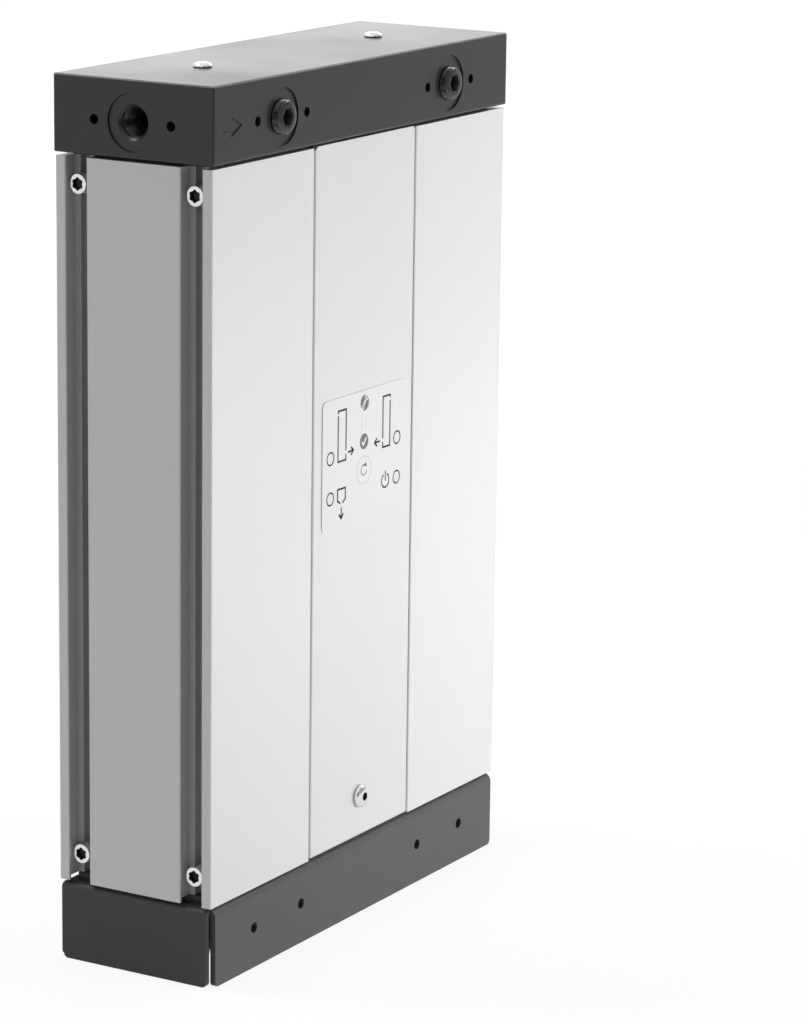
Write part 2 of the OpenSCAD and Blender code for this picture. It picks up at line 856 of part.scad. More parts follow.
module outlet_valve_block() {
  color("#a9abac") difference() {
    translate([0, 0, outlet_block_z]) box(2 * block_half, 2 * outlet_block_half_d, outlet_block_h);
    shuttle_way(outlet_y, top_way_z);
    translate([0, outlet_y, top_way_z]) rod(riser_bore_d, outlet_block_h);
    translate([0, gallery_y, head_z]) drill(riser_d + 2 * slip_gap, 2 * outlet_block_h);
    for (side = [-1, 1]) {
      translate([side * block_screw_x, gallery_y, head_z]) drill(m6_clear_d, 2 * outlet_block_h);
      translate([side * block_screw_x, gallery_y, outlet_block_z]) rotate([180, 0, 0])
        drill(m6_cap_d + over, block_screw_sink);
      translate([side * purge_cross_x, -outlet_block_half_d, top_way_z]) rotate([90, 0, 0]) {
        drill(cross_d, outlet_block_half_d + outlet_y);
        drill(grub_d + 2 * slip_gap, grub_l);
      }
    }
    translate([-block_half, purge_y, top_way_z]) rotate([0, -90, 0])
      drill(purge_d + 2 * fit_gap, block_half + purge_l / 2);
    translate([0, purge_y, top_way_z]) rotate([0, 90, 0]) rod(cross_d, purge_cross_x);
  }
}

module on_valves() {
  for (side = [-1, 1])
    translate([side * coil_x, coil_y, 0]) children();
}

module inlet_valve_block() {
  color("#a9abac") difference() {
    translate([0, 0, base_h]) box(2 * block_half, 2 * inlet_block_half_d, inlet_block_h);
    shuttle_way(gallery_y, bottom_way_z);
    translate([0, gallery_y, bottom_way_z]) rod(riser_bore_d, inlet_block_h);
    translate([0, gallery_y, inlet_block_top]) drill(riser_d + 2 * slip_gap, riser_grip);
    translate([0, gallery_y, inlet_block_top - riser_seal_in])
      groove_ring(riser_d / 2, riser_seal_d / 2, riser_seal_h);
    on_valves() {
      translate([0, 0, inlet_block_top]) drill(tube_flange_d + 2 * slip_gap, tube_flange_h);
      difference() {
        translate([0, 0, inlet_block_top]) drill(tube_d, valve_sink);
        translate([0, 0, plunger_z - seat_h - over]) rod(seat_d, seat_h + over);
      }
      translate([0, 0, base_h]) rod(seat_hole_d, plunger_z - base_h + over);
      translate([0, 0, base_h]) rod(exhaust_d, plunger_z - base_h - seat_floor);
      translate([0, 0, base_h]) rotate([180, 0, 0]) drill(silencer_thread_d + 2 * slip_gap, silencer_thread_l);
    }
    for (side = [-1, 1]) {
      translate([side * coil_x, gallery_y, bottom_way_z])
        rod(cross_d, inlet_block_top - link_drop - bottom_way_z);
      translate([side * coil_x, -inlet_block_half_d, inlet_block_top - link_drop]) rotate([90, 0, 0]) {
        drill(cross_d, inlet_block_half_d + gallery_y);
        drill(grub_d + 2 * slip_gap, grub_l);
      }
      translate([0, side * block_screw_y, base_h]) rotate([180, 0, 0])
        drill(m6_d + 2 * slip_gap, base_screw_l - base_t + screw_end_gap);
      translate([0, side * inlet_block_half_d, cover_screw_z]) rotate([-side * 90, 0, 0])
        drill(m6_d + 2 * slip_gap, cover_screw_l - cover_t + screw_end_gap);
    }
  }
}

module valve_block_screws() {
  color("#c9c9c4") for (side = [-1, 1]) {
    translate([side * block_screw_x, gallery_y, outlet_block_z + block_screw_sink]) rotate([180, 0, 0])
      cap_screw(outlet_block_h);
    translate([0, side * block_screw_y, base_h - base_t]) rotate([180, 0, 0]) cap_screw(base_screw_l);
  }
}

// Headless screw with its outer end at zero
module grub_screw() {
  translate([0, 0, -grub_l]) difference() {
    rod(grub_d, grub_l);
    translate([0, 0, grub_l / 2]) hex_rod(grub_key, grub_l);
  }
}

module gallery_plugs() {
  color("#3a3a3a") {
    for (side = [-1, 1]) {
      translate([side * purge_cross_x, -outlet_block_half_d, top_way_z]) rotate([90, 0, 0]) grub_screw();
      translate([side * coil_x, -inlet_block_half_d, inlet_block_top - link_drop]) rotate([90, 0, 0])
        grub_screw();
    }
    translate([-block_half, purge_y, top_way_z]) rotate([0, -90, 0]) grub_screw();
  }
}

// Both ends of each nipple on the left, mirrored for the right
module on_nipples() {
  for (side = [0, 1], way = [[gallery_y, bottom_way_z], [outlet_y, top_way_z]])
    mirror([side, 0, 0]) translate([nipple_start_x, way[0], way[1]]) rotate([0, 90, 0]) children();
}

nipple_l = nipple_end_x - nipple_start_x;

module transfer_nipples() {
  color("#c8a860") on_nipples() difference() {
    rod(nipple_d, nipple_l);
    translate([0, 0, -over]) rod(air_d, nipple_l + 2 * over);
    for (z = [nipple_seal_end, nipple_l - nipple_seal_end])
      translate([0, 0, z]) groove_ring(nipple_floor_d / 2, nipple_d, nipple_seal_h);
  }
}

module nipple_seals() {
  color("#161616") on_nipples()
    for (z = [nipple_seal_end, nipple_l - nipple_seal_end])
      translate([0, 0, z]) ring_seal(nipple_floor_d / 2, nipple_d / 2 + slip_gap);
}

module riser_tube() {
  color("#c0c2c4") translate([0, gallery_y, inlet_block_top - riser_grip]) difference() {
    rod(riser_d, head_z - inlet_block_top + 2 * riser_grip);
    translate([0, 0, -over]) rod(riser_bore_d, body_h);
  }
}

module riser_seals() {
  color("#161616") for (z = [inlet_block_top - riser_seal_in, head_z + riser_seal_in])
    translate([0, gallery_y, z]) ring_seal(riser_d / 2, riser_seal_d / 2);
}

// Two lands joined by a waist, resting against the left end of its cage
module shuttle(y, z) {
  translate([-cage_half, y, z]) rotate([0, 90, 0]) {
    rod(shuttle_waist_d, shuttle_l);
    for (start = [0, shuttle_l - shuttle_land])
      translate([0, 0, start]) rod(shuttle_bore_d - 2 * fit_gap, shuttle_land);
  }
}

module outlet_shuttle() {
  color("#2f3b55") shuttle(outlet_y, top_way_z);
}

module inlet_shuttle() {
  color("#2f3b55") shuttle(gallery_y, bottom_way_z);
}

module purge_nozzle() {
  color("#c8a860") translate([-purge_l / 2, purge_y, top_way_z]) rotate([0, 90, 0]) difference() {
    rod(purge_d, purge_l);
    translate([0, 0, -over]) rod(purge_hole_d, purge_l + 2 * over);
  }
}

module armature_tubes() {
  color("#c0c2c4") on_valves() difference() {
    union() {
      translate([0, 0, inlet_block_top - tube_flange_h]) rod(tube_flange_d, tube_flange_h);
      translate([0, 0, inlet_block_top - over]) rod(tube_d, tube_top + over);
    }
    translate([0, 0, inlet_block_top - tube_flange_h - over])
      rod(tube_bore_d, tube_flange_h + tube_top - tube_core_l + over);
  }
}

module coils() {
  color("#1d1d1f") on_valves() translate([0, 0, inlet_block_top + coil_lift]) difference() {
    union() {
      box(coil_w, coil_depth, coil_h);
      translate([0, coil_depth / 2 + coil_plug_d / 2 - over, (coil_h - coil_plug_h) / 2])
        box(coil_plug_w, coil_plug_d + 2 * over, coil_plug_h);
    }
    translate([0, 0, -over]) rod(tube_d + 2 * slip_gap, coil_h + 2 * over);
  }
}

module coil_nuts() {
  color("#c9c9c4") on_valves() translate([0, 0, inlet_block_top + coil_lift + coil_h]) difference() {
    hex_rod(nut_w, nut_h);
    translate([0, 0, -over]) rod(tube_d + 2 * fit_gap, nut_h + 2 * over);
  }
}

module plunger(side) {
  translate([side * coil_x, coil_y, plunger_z]) {
    rod(plunger_tip_d, plunger_l);
    translate([0, 0, plunger_tip_l]) rod(plunger_d, plunger_l - plunger_tip_l);
  }
}

module left_plunger() {
  color("#8d9094") plunger(-1);
}

module right_plunger() {
  color("#8d9094") plunger(1);
}

module plunger_spring(side) {
  translate([side * coil_x, coil_y, plunger_z + plunger_l])
    helix_spring(plunger_spring_d, plunger_spring_wire, plunger_spring_h, plunger_spring_turns);
}

module left_plunger_spring() {
  color("#9a9a98") plunger_spring(-1);
}

module right_plunger_spring() {
  color("#9a9a98") plunger_spring(1);
}

module silencers() {
  color("#b08d57") on_valves() translate([0, 0, base_h]) difference() {
    union() {
      translate([0, 0, -over]) rod(silencer_thread_d, silencer_thread_l + over);
      translate([0, 0, -silencer_hex_h]) hex_rod(silencer_hex_w, silencer_hex_h);
      translate([0, 0, -silencer_l]) rod(silencer_d, silencer_l - silencer_hex_h / 2);
    }
    translate([0, 0, over - silencer_l]) rod(exhaust_d, silencer_l + silencer_thread_l);
  }
}

// Four fixing places on the board, on its front face
module on_board_corners() {
  for (sx = [-1, 1], sz = [-1, 1])
    translate([sx * (board_w / 2 - board_inset), board_front_y, foil_z + sz * (board_h / 2 - board_inset)])
      rotate([90, 0, 0]) children();
}

module circuit_board() {
  color("#1f5a38") difference() {
    translate([0, board_front_y + board_t / 2, foil_z - board_h / 2]) box(board_w, board_t, board_h);
    on_board_corners() drill(spacer_hole_d, 2 * board_t);
  }
}

module board_spacers() {
  color("#c9c9c4") on_board_corners() difference() {
    rod(spacer_d, board_gap);
    translate([0, 0, -over]) rod(spacer_hole_d, board_gap);
  }
}

module board_screws() {
  color("#c9c9c4") on_board_corners() translate([0, 0, -board_t]) rotate([180, 0, 0])
    button_screw(m3_d, m3_head_d, m3_head_h, board_screw_l, m3_key);
}

module status_lamps() {
  color("#7fb069") on_lamps() translate([0, 0, -cover_t - board_gap])
    rod(lamp_d, cover_t + board_gap - slip_gap);
}

// Round key behind the foil, with a lip inside the cover and a stem towards the switch
module reset_key() {
  color("#d9d9d9") translate([0, -col_d / 2, key_z]) rotate([90, 0, 0]) {
    translate([0, 0, -cover_t - slip_gap]) rod(key_d, cover_t);
    translate([0, 0, -cover_t - slip_gap - key_lip]) rod(key_lip_d, key_lip);
    translate([0, 0, -cover_t - board_gap + switch_h + key_travel + slip_gap])
      rod(key_stem_d, board_gap - switch_h - key_travel);
  }
}

module key_switch() {
  color("#222222") translate([0, board_front_y, key_z]) rotate([90, 0, 0])
    box(switch_w, switch_w, switch_h);
}

module board_terminal() {
  color("#3f7d4a") translate([0, board_back_y + terminal_d / 2, terminal_z])
    box(terminal_w, terminal_d, terminal_h);
}

// Places of the pins on the back of the power inlet, pointing to the rear
module on_inlet_pins() {
  translate([0, col_d / 2 - inlet_depth, inlet_z]) rotate([-90, 0, 0])
    for (a = [90 : 120 : 330])
      rotate([0, 0, a]) translate([pin_spread, 0, 0]) children();
}

// Square inlet with an open cavity towards the rear
module power_inlet() {
  color("#1d1d1f") difference() {
    translate([0, col_d / 2 - inlet_depth, inlet_z]) rotate([-90, 0, 0]) difference() {
      union() {
        box(inlet_hole_w - 2 * slip_gap, inlet_hole_w - 2 * slip_gap, inlet_depth + over);
        translate([0, 0, inlet_depth]) linear_extrude(inlet_flange)
          round_rect(inlet_w, inlet_w, inlet_flange);
      }
      translate([0, 0, inlet_wall]) box(inlet_cavity_w, inlet_cavity_w, inlet_depth + inlet_flange);
    }
    on_inlet_pins() translate([0, 0, -over]) rod(pin_d, pin_l);
  }
}

module inlet_pins() {
  color("#c8a860") on_inlet_pins() rod(pin_d - 2 * fit_gap, pin_l);
}

module coil_leads() {
  color("#1a1a1a") for (side = [0, 1])
    mirror([side, 0, 0]) lead(coil_lead_route, lead_d);
}

module supply_lead() {
  color("#1a1a1a") lead(supply_route, supply_d);
}

head_block();
port_plugs();
head_top_screws();
left_column();
right_column();
left_column_screws();
right_column_screws();
front_cover();
rear_cover();
cover_screws();
control_foil();
base_tray();
foot_plates();
base_screws();
top_inserts();
bottom_inserts();
insert_screws();
insert_seals();
desiccant_beds();
upper_sieves();
lower_sieves();
upper_felts();
lower_felts();
bed_springs();
outlet_valve_block();
inlet_valve_block();
valve_block_screws();
gallery_plugs();
transfer_nipples();
nipple_seals();
riser_tube();
riser_seals();
outlet_shuttle();
inlet_shuttle();
purge_nozzle();
armature_tubes();
coils();
coil_nuts();
left_plunger();
right_plunger();
left_plunger_spring();
right_plunger_spring();
silencers();
circuit_board();
board_spacers();
board_screws();
status_lamps();
reset_key();
key_switch();
board_terminal();
power_inlet();
inlet_pins();
coil_leads();
supply_lead();
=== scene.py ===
import math

import bmesh
import bpy
from mathutils import Matrix, Vector


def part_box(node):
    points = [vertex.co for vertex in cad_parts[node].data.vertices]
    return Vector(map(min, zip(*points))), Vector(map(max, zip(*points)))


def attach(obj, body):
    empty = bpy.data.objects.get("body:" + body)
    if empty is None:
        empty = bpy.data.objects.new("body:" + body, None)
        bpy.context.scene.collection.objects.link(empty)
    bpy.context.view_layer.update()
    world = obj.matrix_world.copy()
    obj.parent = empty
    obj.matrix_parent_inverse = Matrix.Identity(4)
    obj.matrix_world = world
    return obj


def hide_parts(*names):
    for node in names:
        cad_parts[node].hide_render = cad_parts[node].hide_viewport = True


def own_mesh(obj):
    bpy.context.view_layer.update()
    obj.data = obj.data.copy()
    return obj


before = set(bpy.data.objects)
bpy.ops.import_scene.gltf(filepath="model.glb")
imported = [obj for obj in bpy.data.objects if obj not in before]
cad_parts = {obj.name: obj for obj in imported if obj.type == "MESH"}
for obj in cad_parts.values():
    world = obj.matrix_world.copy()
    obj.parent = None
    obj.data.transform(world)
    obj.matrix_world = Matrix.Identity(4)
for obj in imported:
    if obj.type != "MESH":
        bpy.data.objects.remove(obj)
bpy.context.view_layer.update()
mm = 0.001


# Camera: a long lens to the front left of the dryer and a little above its head, so the front, the
# left side and the top all show and the upright edges stay nearly parallel.
def add_object(name, data):
    thing = bpy.data.objects.new(name, data)
    bpy.context.collection.objects.link(thing)
    return thing


camera_place = (-1.71224, -1.07762, 0.68404)
camera_turn, camera_tilt = math.radians(-59.51), math.radians(90 - 13.23)
camera_roll = math.radians(0.77)
camera_data = bpy.data.cameras.new("camera")
camera_data.lens = 141.9
camera_data.sensor_width = 36
camera_data.clip_start = 0.05
camera = add_object("camera", camera_data)
camera.matrix_world = (Matrix.Translation(camera_place) @ Matrix.Rotation(camera_turn, 4, "Z")
                       @ Matrix.Rotation(camera_tilt, 4, "X")
                       @ Matrix.Rotation(camera_roll, 4, "Z"))
bpy.context.scene.camera = camera
bpy.context.scene.view_settings.view_transform = "Standard"


# Studio: a wide pale floor and a white surround. Rays from the camera and from gloss see both as
# white, so that metal mirrors a white room, while the floor still darkens under the dryer. Its
# shadow there is real, and below the tray its glow is taken away, which is painted shade.
def add_node(tree, kind, inputs=None, **settings):
    """Adds a node with its settings and its inputs, which are plain values or other nodes'
    outputs, and returns its first output."""
    node = tree.nodes.new(kind)
    for label, value in settings.items():
        setattr(node, label, value)
    for label, value in (inputs or {}).items():
        if isinstance(value, bpy.types.NodeSocket):
            tree.links.new(value, node.inputs[label])
        else:
            node.inputs[label].default_value = value
    return next(output for output in node.outputs if output.enabled)


def calculate(tree, operation, *values):
    return add_node(tree, "ShaderNodeMath", dict(enumerate(values)), operation=operation)


def map_range(tree, value, low, high, to_low=0.0, to_high=1.0):
    """Even scale from one range to another, held at its ends."""
    return add_node(tree, "ShaderNodeMapRange", {
        "Value": value, "From Min": low, "From Max": high, "To Min": to_low, "To Max": to_high})


def object_place(tree):
    """Place of a point in the piece's own coordinates."""
    return tree.nodes.new("ShaderNodeTexCoord").outputs["Object"]


def split_axes(tree, vector):
    axes = tree.nodes.new("ShaderNodeSeparateXYZ")
    tree.links.new(vector, axes.inputs[0])
    return axes.outputs


def end_by_ray(tree, lighting, seen, kind):
    """Output that has one shader for rays that light things and one for rays that see them."""
    path = tree.nodes.new("ShaderNodeLightPath").outputs
    either = calculate(tree, "MAXIMUM", path["Is Camera Ray"], path["Is Glossy Ray"])
    direct = calculate(tree, "MAXIMUM", either, path["Is Transmission Ray"])
    pick = add_node(tree, "ShaderNodeMixShader", {0: direct, 1: lighting, 2: seen})
    tree.links.new(pick, tree.nodes.new(kind).inputs["Surface"])


def grey(shade):
    return (shade, shade, shade, 1)


def flat_mesh(name, corners):
    mesh = bpy.data.meshes.new(name)
    mesh.from_pydata(corners, [], [(0, 1, 2, 3)])
    return mesh


floor_reach, floor_drop = 15.0, 0.2 * mm
floor_shade, shadow_shade = 0.8, 0.2
near_glow, far_glow, near_end, far_start = 0.86, 1.0, 1.0, 3.5
# Painted shade: the floor doesn't glow below the tray, so its holes and open corners show dark
painted_shade_under = (((-0.089, 0.139), (-0.0445, 0.0445)), ((-0.139, -0.080), (-0.017, 0.0445)))
dark_edge = 6 * mm
corner_signs = ((-1, -1), (1, -1), (1, 1), (-1, 1))
floor = add_object("studio_floor", flat_mesh("studio_floor", [
    (x * floor_reach, y * floor_reach, -floor_drop) for x, y in corner_signs]))
floor_paint = bpy.data.materials.new("floor_paint")
floor_paint.use_nodes = True
tree = floor_paint.node_tree
tree.nodes.clear()
where = object_place(tree)
axes = split_axes(tree, where)


def past_range(axis, low, high):
    """0 well inside a range, 1 outside it."""
    centred = calculate(tree, "SUBTRACT", axes[axis], (low + high) / 2)
    half = (high - low) / 2
    return map_range(tree, calculate(tree, "ABSOLUTE", centred), half - dark_edge, half)


shine = 1.0
for x_range, y_range in painted_shade_under:
    outside = calculate(tree, "MAXIMUM", past_range("X", *x_range), past_range("Y", *y_range))
    shine = calculate(tree, "MULTIPLY", shine, outside)
distance = tree.nodes.new("ShaderNodeVectorMath")
distance.operation = "LENGTH"
tree.links.new(where, distance.inputs[0])
spread = map_range(tree, distance.outputs["Value"], near_end, far_start, near_glow, far_glow)
shine = calculate(tree, "MULTIPLY", shine, spread)
glow = add_node(tree, "ShaderNodeEmission", {"Strength": shine})
shadow_catch = add_node(tree, "ShaderNodeBsdfDiffuse", {"Color": grey(shadow_shade)})
end_by_ray(tree, add_node(tree, "ShaderNodeBsdfDiffuse", {"Color": grey(floor_shade)}),
           add_node(tree, "ShaderNodeAddShader", {0: shadow_catch, 1: glow}),
           "ShaderNodeOutputMaterial")
floor.data.materials.append(floor_paint)

room_light, room_shown = 0.20, 1.0
room = bpy.data.worlds.new("white_room")
room.use_nodes = True
tree = room.node_tree
tree.nodes.clear()
end_by_ray(tree, *(add_node(tree, "ShaderNodeBackground", {"Color": grey(1), "Strength": strength})
                   for strength in (room_light, room_shown)), "ShaderNodeOutputWorld")
bpy.context.scene.world = room


def softbox(name, place, aim, width, height, power, in_gloss=True):
    lamp = bpy.data.lights.new(name, "AREA")
    lamp.shape = "RECTANGLE"
    lamp.size, lamp.size_y = width, height
    lamp.energy = power
    holder = add_object(name, lamp)
    towards = (Vector(aim) - Vector(place)).to_track_quat("-Z", "Y").to_matrix().to_4x4()
    holder.matrix_world = Matrix.Translation(place) @ towards
    holder.visible_camera, holder.visible_glossy = False, in_gloss


softbox("key_softbox", (1.0, -3.2, 0.6), (0, 0, 0.12), 2.4, 1.2, 80, in_gloss=False)
softbox("near_softbox", (0.6, -0.6, 0.04), (0.1, 0, 0.05), 0.3, 0.3, 4.0, in_gloss=False)
softbox("rear_softbox", (2.6, 1.7, 1.5), (0, 0, 0.4), 2.6, 1.4, 20)
softbox("overhead_softbox", (-0.35, 1.0, 1.9), (0, 0, 0.3), 0.7, 0.7, 14)
softbox("edge_strip", (1.66, -0.5, 1.46), (0, -0.05, 0.44), 1.0, 0.25, 6)


def grey_card(name, x_range, y, z_range, shade):
    """Dark card that only gloss sees, as a studio uses to give black and bright metal an edge."""
    (left, right), (low, high) = x_range, z_range
    card = add_object(name, flat_mesh(name, [(left, y, low), (right, y, low), (right, y, high),
                                             (left, y, high)]))
    colour = bpy.data.materials.new(name + "_paint")
    colour.use_nodes = True
    colour.node_tree.nodes["Principled BSDF"].inputs["Base Color"].default_value = grey(shade)
    card.data.materials.append(colour)
    card.visible_camera = card.visible_diffuse = card.visible_shadow = False


grey_card("head_card", (-0.3, 1.75), -0.9, (0.1, 1.2), 0.54)
grey_card("camera_card", (-1.7, -0.55), -1.25, (0, 1.2), 0.02)


# Base tray: steel sheet folded down on four sides, its corners left open, satin black powder coat.
# The finish maker below serves every later piece: grain, colour spread, roughness and bump all
# come from noise in the piece's own coordinates.
def finish(name, colour, rough, metallic=0.0, spread=0.08, rough_spread=0.06, grain=(1, 1, 1),
           scale=300, bump=0.02, bump_scale=None, mottle=12, coat=0.0, ior=1.5, sheen=0.0):
    """Material whose colour and roughness vary by their spreads about the given values."""
    material = bpy.data.materials.new(name)
    material.use_nodes = True
    tree = material.node_tree
    shader = tree.nodes["Principled BSDF"]
    for label, value in (("Metallic", metallic), ("IOR", ior), ("Coat Weight", coat),
                         ("Coat Roughness", 0.15), ("Sheen Weight", sheen)):
        shader.inputs[label].default_value = value
    place = object_place(tree)

    def noise(stretch, size, detail):
        point = add_node(tree, "ShaderNodeMapping", {"Vector": place, "Scale": stretch})
        return add_node(tree, "ShaderNodeTexNoise",
                        {"Vector": point, "Scale": size, "Detail": detail})

    even = (1, 1, 1)
    fine, wide = noise(grain, scale, 3), noise(even, mottle, 2)
    tint = add_node(tree, "ShaderNodeMix", {
        "Factor": map_range(tree, calculate(tree, "ADD", fine, wide), 0.6, 1.4),
        "A": [c * (1 - spread) for c in colour] + [1],
        "B": [min(c * (1 + spread), 1) for c in colour] + [1]}, data_type="RGBA")
    least_rough = 0.03
    gloss = map_range(tree, wide if grain == even else fine, 0.3, 0.7,
                      max(rough - rough_spread, least_rough), rough + rough_spread)
    relief = add_node(tree, "ShaderNodeBump", {
        "Strength": bump, "Distance": 1 * mm, "Height": noise(grain, bump_scale or scale, 2)})
    for label, output in (("Base Color", tint), ("Roughness", gloss), ("Normal", relief)):
        tree.links.new(output, shader.inputs[label])
    return material


def dress(material, *nodes):
    for node in nodes:
        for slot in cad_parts[node].material_slots:
            slot.material = material


def paint(piece, material):
    piece.data.materials.clear()
    piece.data.materials.append(material)


def smooth_by_angle(mesh, degrees):
    mesh.polygons.foreach_set("use_smooth", [True] * len(mesh.polygons))
    shape = bmesh.new()
    shape.from_mesh(mesh)
    for edge in shape.edges:
        edge.smooth = (len(edge.link_faces) == 2
                       and edge.calc_face_angle(0) < math.radians(degrees))
    shape.to_mesh(mesh)
    shape.free()


def keep_result(piece, modifier):
    """Turns what a modifier makes into the piece's own mesh."""
    made = bpy.data.meshes.new_from_object(
        piece.evaluated_get(bpy.context.evaluated_depsgraph_get()))
    piece.modifiers.remove(modifier)
    piece.data = made
    made.name = piece.name


def merged_copy(node, name, flatten=False):
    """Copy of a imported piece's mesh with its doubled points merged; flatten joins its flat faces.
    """
    merge_reach, flat_angle = 0.001 * mm, math.radians(0.3)
    shape = bmesh.new()
    shape.from_mesh(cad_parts[node].data)
    bmesh.ops.remove_doubles(shape, verts=shape.verts, dist=merge_reach)
    if flatten:
        bmesh.ops.dissolve_limit(shape, angle_limit=flat_angle, verts=shape.verts,
                                 edges=shape.edges)
    mesh = bpy.data.meshes.new(name)
    shape.to_mesh(mesh)
    shape.free()
    return mesh


def break_edges(node, width):
    """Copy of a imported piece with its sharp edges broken, which stands for that piece."""
    sharp, smooth = math.radians(28), 18
    piece = add_object(node + "_finished", merged_copy(node, node + "_outline", flatten=True))
    edge = piece.modifiers.new("broken_edges", "BEVEL")
    edge.width, edge.segments = width, 2
    edge.limit_method, edge.angle_limit = "ANGLE", sharp
    keep_result(piece, edge)
    smooth_by_angle(piece.data, smooth)
    flats = piece.modifiers.new("flat_faces_rule", "WEIGHTED_NORMAL")
    flats.keep_sharp = True
    keep_result(piece, flats)
    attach(piece, "dryer")
    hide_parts(node)
    return piece


tray_edge = 0.3 * mm
powder_coat = finish("powder_coat", (0.080, 0.080, 0.077), 0.42, scale=900, bump=0.10,
                     bump_scale=1500, ior=1.3)
dress(powder_coat, "base_tray")
paint(break_edges("base_tray", tray_edge), powder_coat)


# Foot plates and closing inserts: a moulded black plate lies under each column, and turned
# aluminium inserts with rubber rings close both ends of the bore. Zinc-plated cap screws pull them
# together.
dress(finish("foot_plastic", (0.02, 0.02, 0.02), 0.5, scale=700, bump=0.06), "foot_plates")
dress(finish("turned_insert", (0.55, 0.56, 0.57), 0.32, metallic=0.9, grain=(1, 1, 14), scale=220,
             bump=0.05), "top_inserts", "bottom_inserts")
dress(finish("zinc_plate", (0.66, 0.66, 0.64), 0.28, metallic=0.95, scale=500, bump=0.03),
      "base_screws", "insert_screws", "valve_block_screws", "coil_nuts", "board_spacers",
      "board_screws")
dress(finish("ring_rubber", (0.012, 0.012, 0.012), 0.6, scale=600, bump=0.05),
      "insert_seals", "nipple_seals", "riser_seals")


# Desiccant bed: white alumina beads packed between punched sieves and needled felt pads, held down
# by a steel wire spring. All of it is sealed in the columns.
dress(finish("alumina_beads", (0.80, 0.77, 0.70), 0.8, spread=0.12, scale=400, bump=0.8,
             bump_scale=330), "desiccant_beds")
dress(finish("needled_felt", (0.82, 0.81, 0.77), 0.95, spread=0.1, scale=900, bump=0.5, sheen=0.3),
      "upper_felts", "lower_felts")
dress(finish("punched_sheet", (0.42, 0.42, 0.41), 0.35, metallic=0.9, scale=500, bump=0.03),
      "upper_sieves", "lower_sieves")
spring_wire = finish("spring_wire", (0.35, 0.35, 0.35), 0.3, metallic=0.95, scale=600, bump=0.03)
dress(spring_wire, "bed_springs")


# Valve blocks: milled aluminium with the air ways drilled in. Each holds a plastic shuttle, brass
# nipples to both columns and the steel riser tube between them.
dress(finish("milled_block", (0.46, 0.47, 0.48), 0.38, metallic=0.85, grain=(1, 8, 1), scale=260,
             bump=0.06), "outlet_valve_block", "inlet_valve_block")
dress(finish("turned_brass", (0.62, 0.43, 0.19), 0.3, metallic=0.95, scale=400, bump=0.03),
      "transfer_nipples", "purge_nozzle", "inlet_pins")
dress(finish("black_oxide", (0.05, 0.05, 0.05), 0.4, metallic=0.6, scale=500, bump=0.05),
      "gallery_plugs")
dress(finish("drawn_steel", (0.50, 0.51, 0.52), 0.27, metallic=0.95, grain=(1, 1, 0.1), scale=500,
             bump=0.03), "riser_tube", "armature_tubes", "left_plunger", "right_plunger")
dress(finish("blue_acetal", (0.03, 0.045, 0.10), 0.4, scale=500, bump=0.03),
      "outlet_shuttle", "inlet_shuttle")


# Exhaust solenoids, silencers and leads: moulded black coils on steel tubes, sintered bronze
# silencers under the inlet block, and black jacketed leads up to the board.
dress(finish("coil_moulding", (0.013, 0.013, 0.015), 0.45, scale=700, bump=0.08),
      "coils", "key_switch", "power_inlet")
dress(finish("sintered_bronze", (0.42, 0.27, 0.11), 0.6, metallic=0.8, spread=0.25, scale=900,
             bump=0.6, bump_scale=1200), "silencers")
dress(finish("lead_jacket", (0.012, 0.012, 0.012), 0.5, scale=600, bump=0.05),
      "coil_leads", "supply_lead")


# Plunger springs: wound stainless wire that presses each plunger on its seat, and shortens as its
# plunger lifts. A merged copy of the imported spring, with a mesh of its own, stands for it.
plunger_lift, wire_smooth = 1.8 * mm, 50
dress(spring_wire, "left_plunger_spring", "right_plunger_spring")
for side in ("left", "right"):
    node = side + "_plunger_spring"
    wound = add_object(node + "_wire", merged_copy(node, node + "_wire"))
    smooth_by_angle(wound.data, wire_smooth)
    paint(wound, spring_wire)
    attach(wound, "dryer")
    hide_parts(node)
    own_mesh(wound)


# Columns: extruded aluminium, natural anodised, with screw grooves along both sides. The die
# leaves very fine lines along the length. The groove walls get painted shade: their colour is
# made darker towards the groove floor.
def anodised(name, colour):
    return finish(name, colour, 0.42, metallic=0.30, spread=0.025, rough_spread=0.03,
                  grain=(1, 1, 0.012), scale=900, bump=0.035, bump_scale=1400, mottle=5)


def paint_groove_shade(material, column_middle, mouth, floor, front, darkness):
    """Paints shade into a finish's colour, darker from the mouth of the grooves to their floor, both
    given as distances from the column's middle, but not on the front and the rear of the column."""
    tree = material.node_tree
    colour = tree.nodes["Principled BSDF"].inputs["Base Color"]
    axes = split_axes(tree, object_place(tree))
    sideways = calculate(tree, "SUBTRACT", calculate(tree, "ABSOLUTE", axes["X"]), column_middle)
    inside = map_range(tree, calculate(tree, "ABSOLUTE", sideways), mouth, floor, 0.0, darkness)
    behind = map_range(tree, calculate(tree, "ABSOLUTE", axes["Y"]), front, front - 0.4 * mm)
    left_over = calculate(tree, "SUBTRACT", 1.0, calculate(tree, "MULTIPLY", inside, behind))
    shaded = add_node(tree, "ShaderNodeMix", {
        "Factor": 1.0, "A": colour.links[0].from_socket, "B": left_over},
        data_type="RGBA", blend_type="MULTIPLY")
    tree.links.new(shaded, colour)


column_low, column_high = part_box("right_column")
column_middle = (column_low[0] + column_high[0]) / 2
column_half, column_front = (column_high[0] - column_low[0]) / 2, column_high[1]
column_edge = 0.25 * mm
column_metal = anodised("column_anodised", (0.655, 0.66, 0.655))
# Painted shade: the groove walls are up to 30 percent darker in colour at their floor
paint_groove_shade(column_metal, column_middle, column_half - 0.5 * mm, column_half - 8.5 * mm,
              column_front - 0.1 * mm, 0.30)
dress(column_metal, "left_column", "right_column")
for column in ("left_column", "right_column"):
    paint(break_edges(column, column_edge), column_metal)


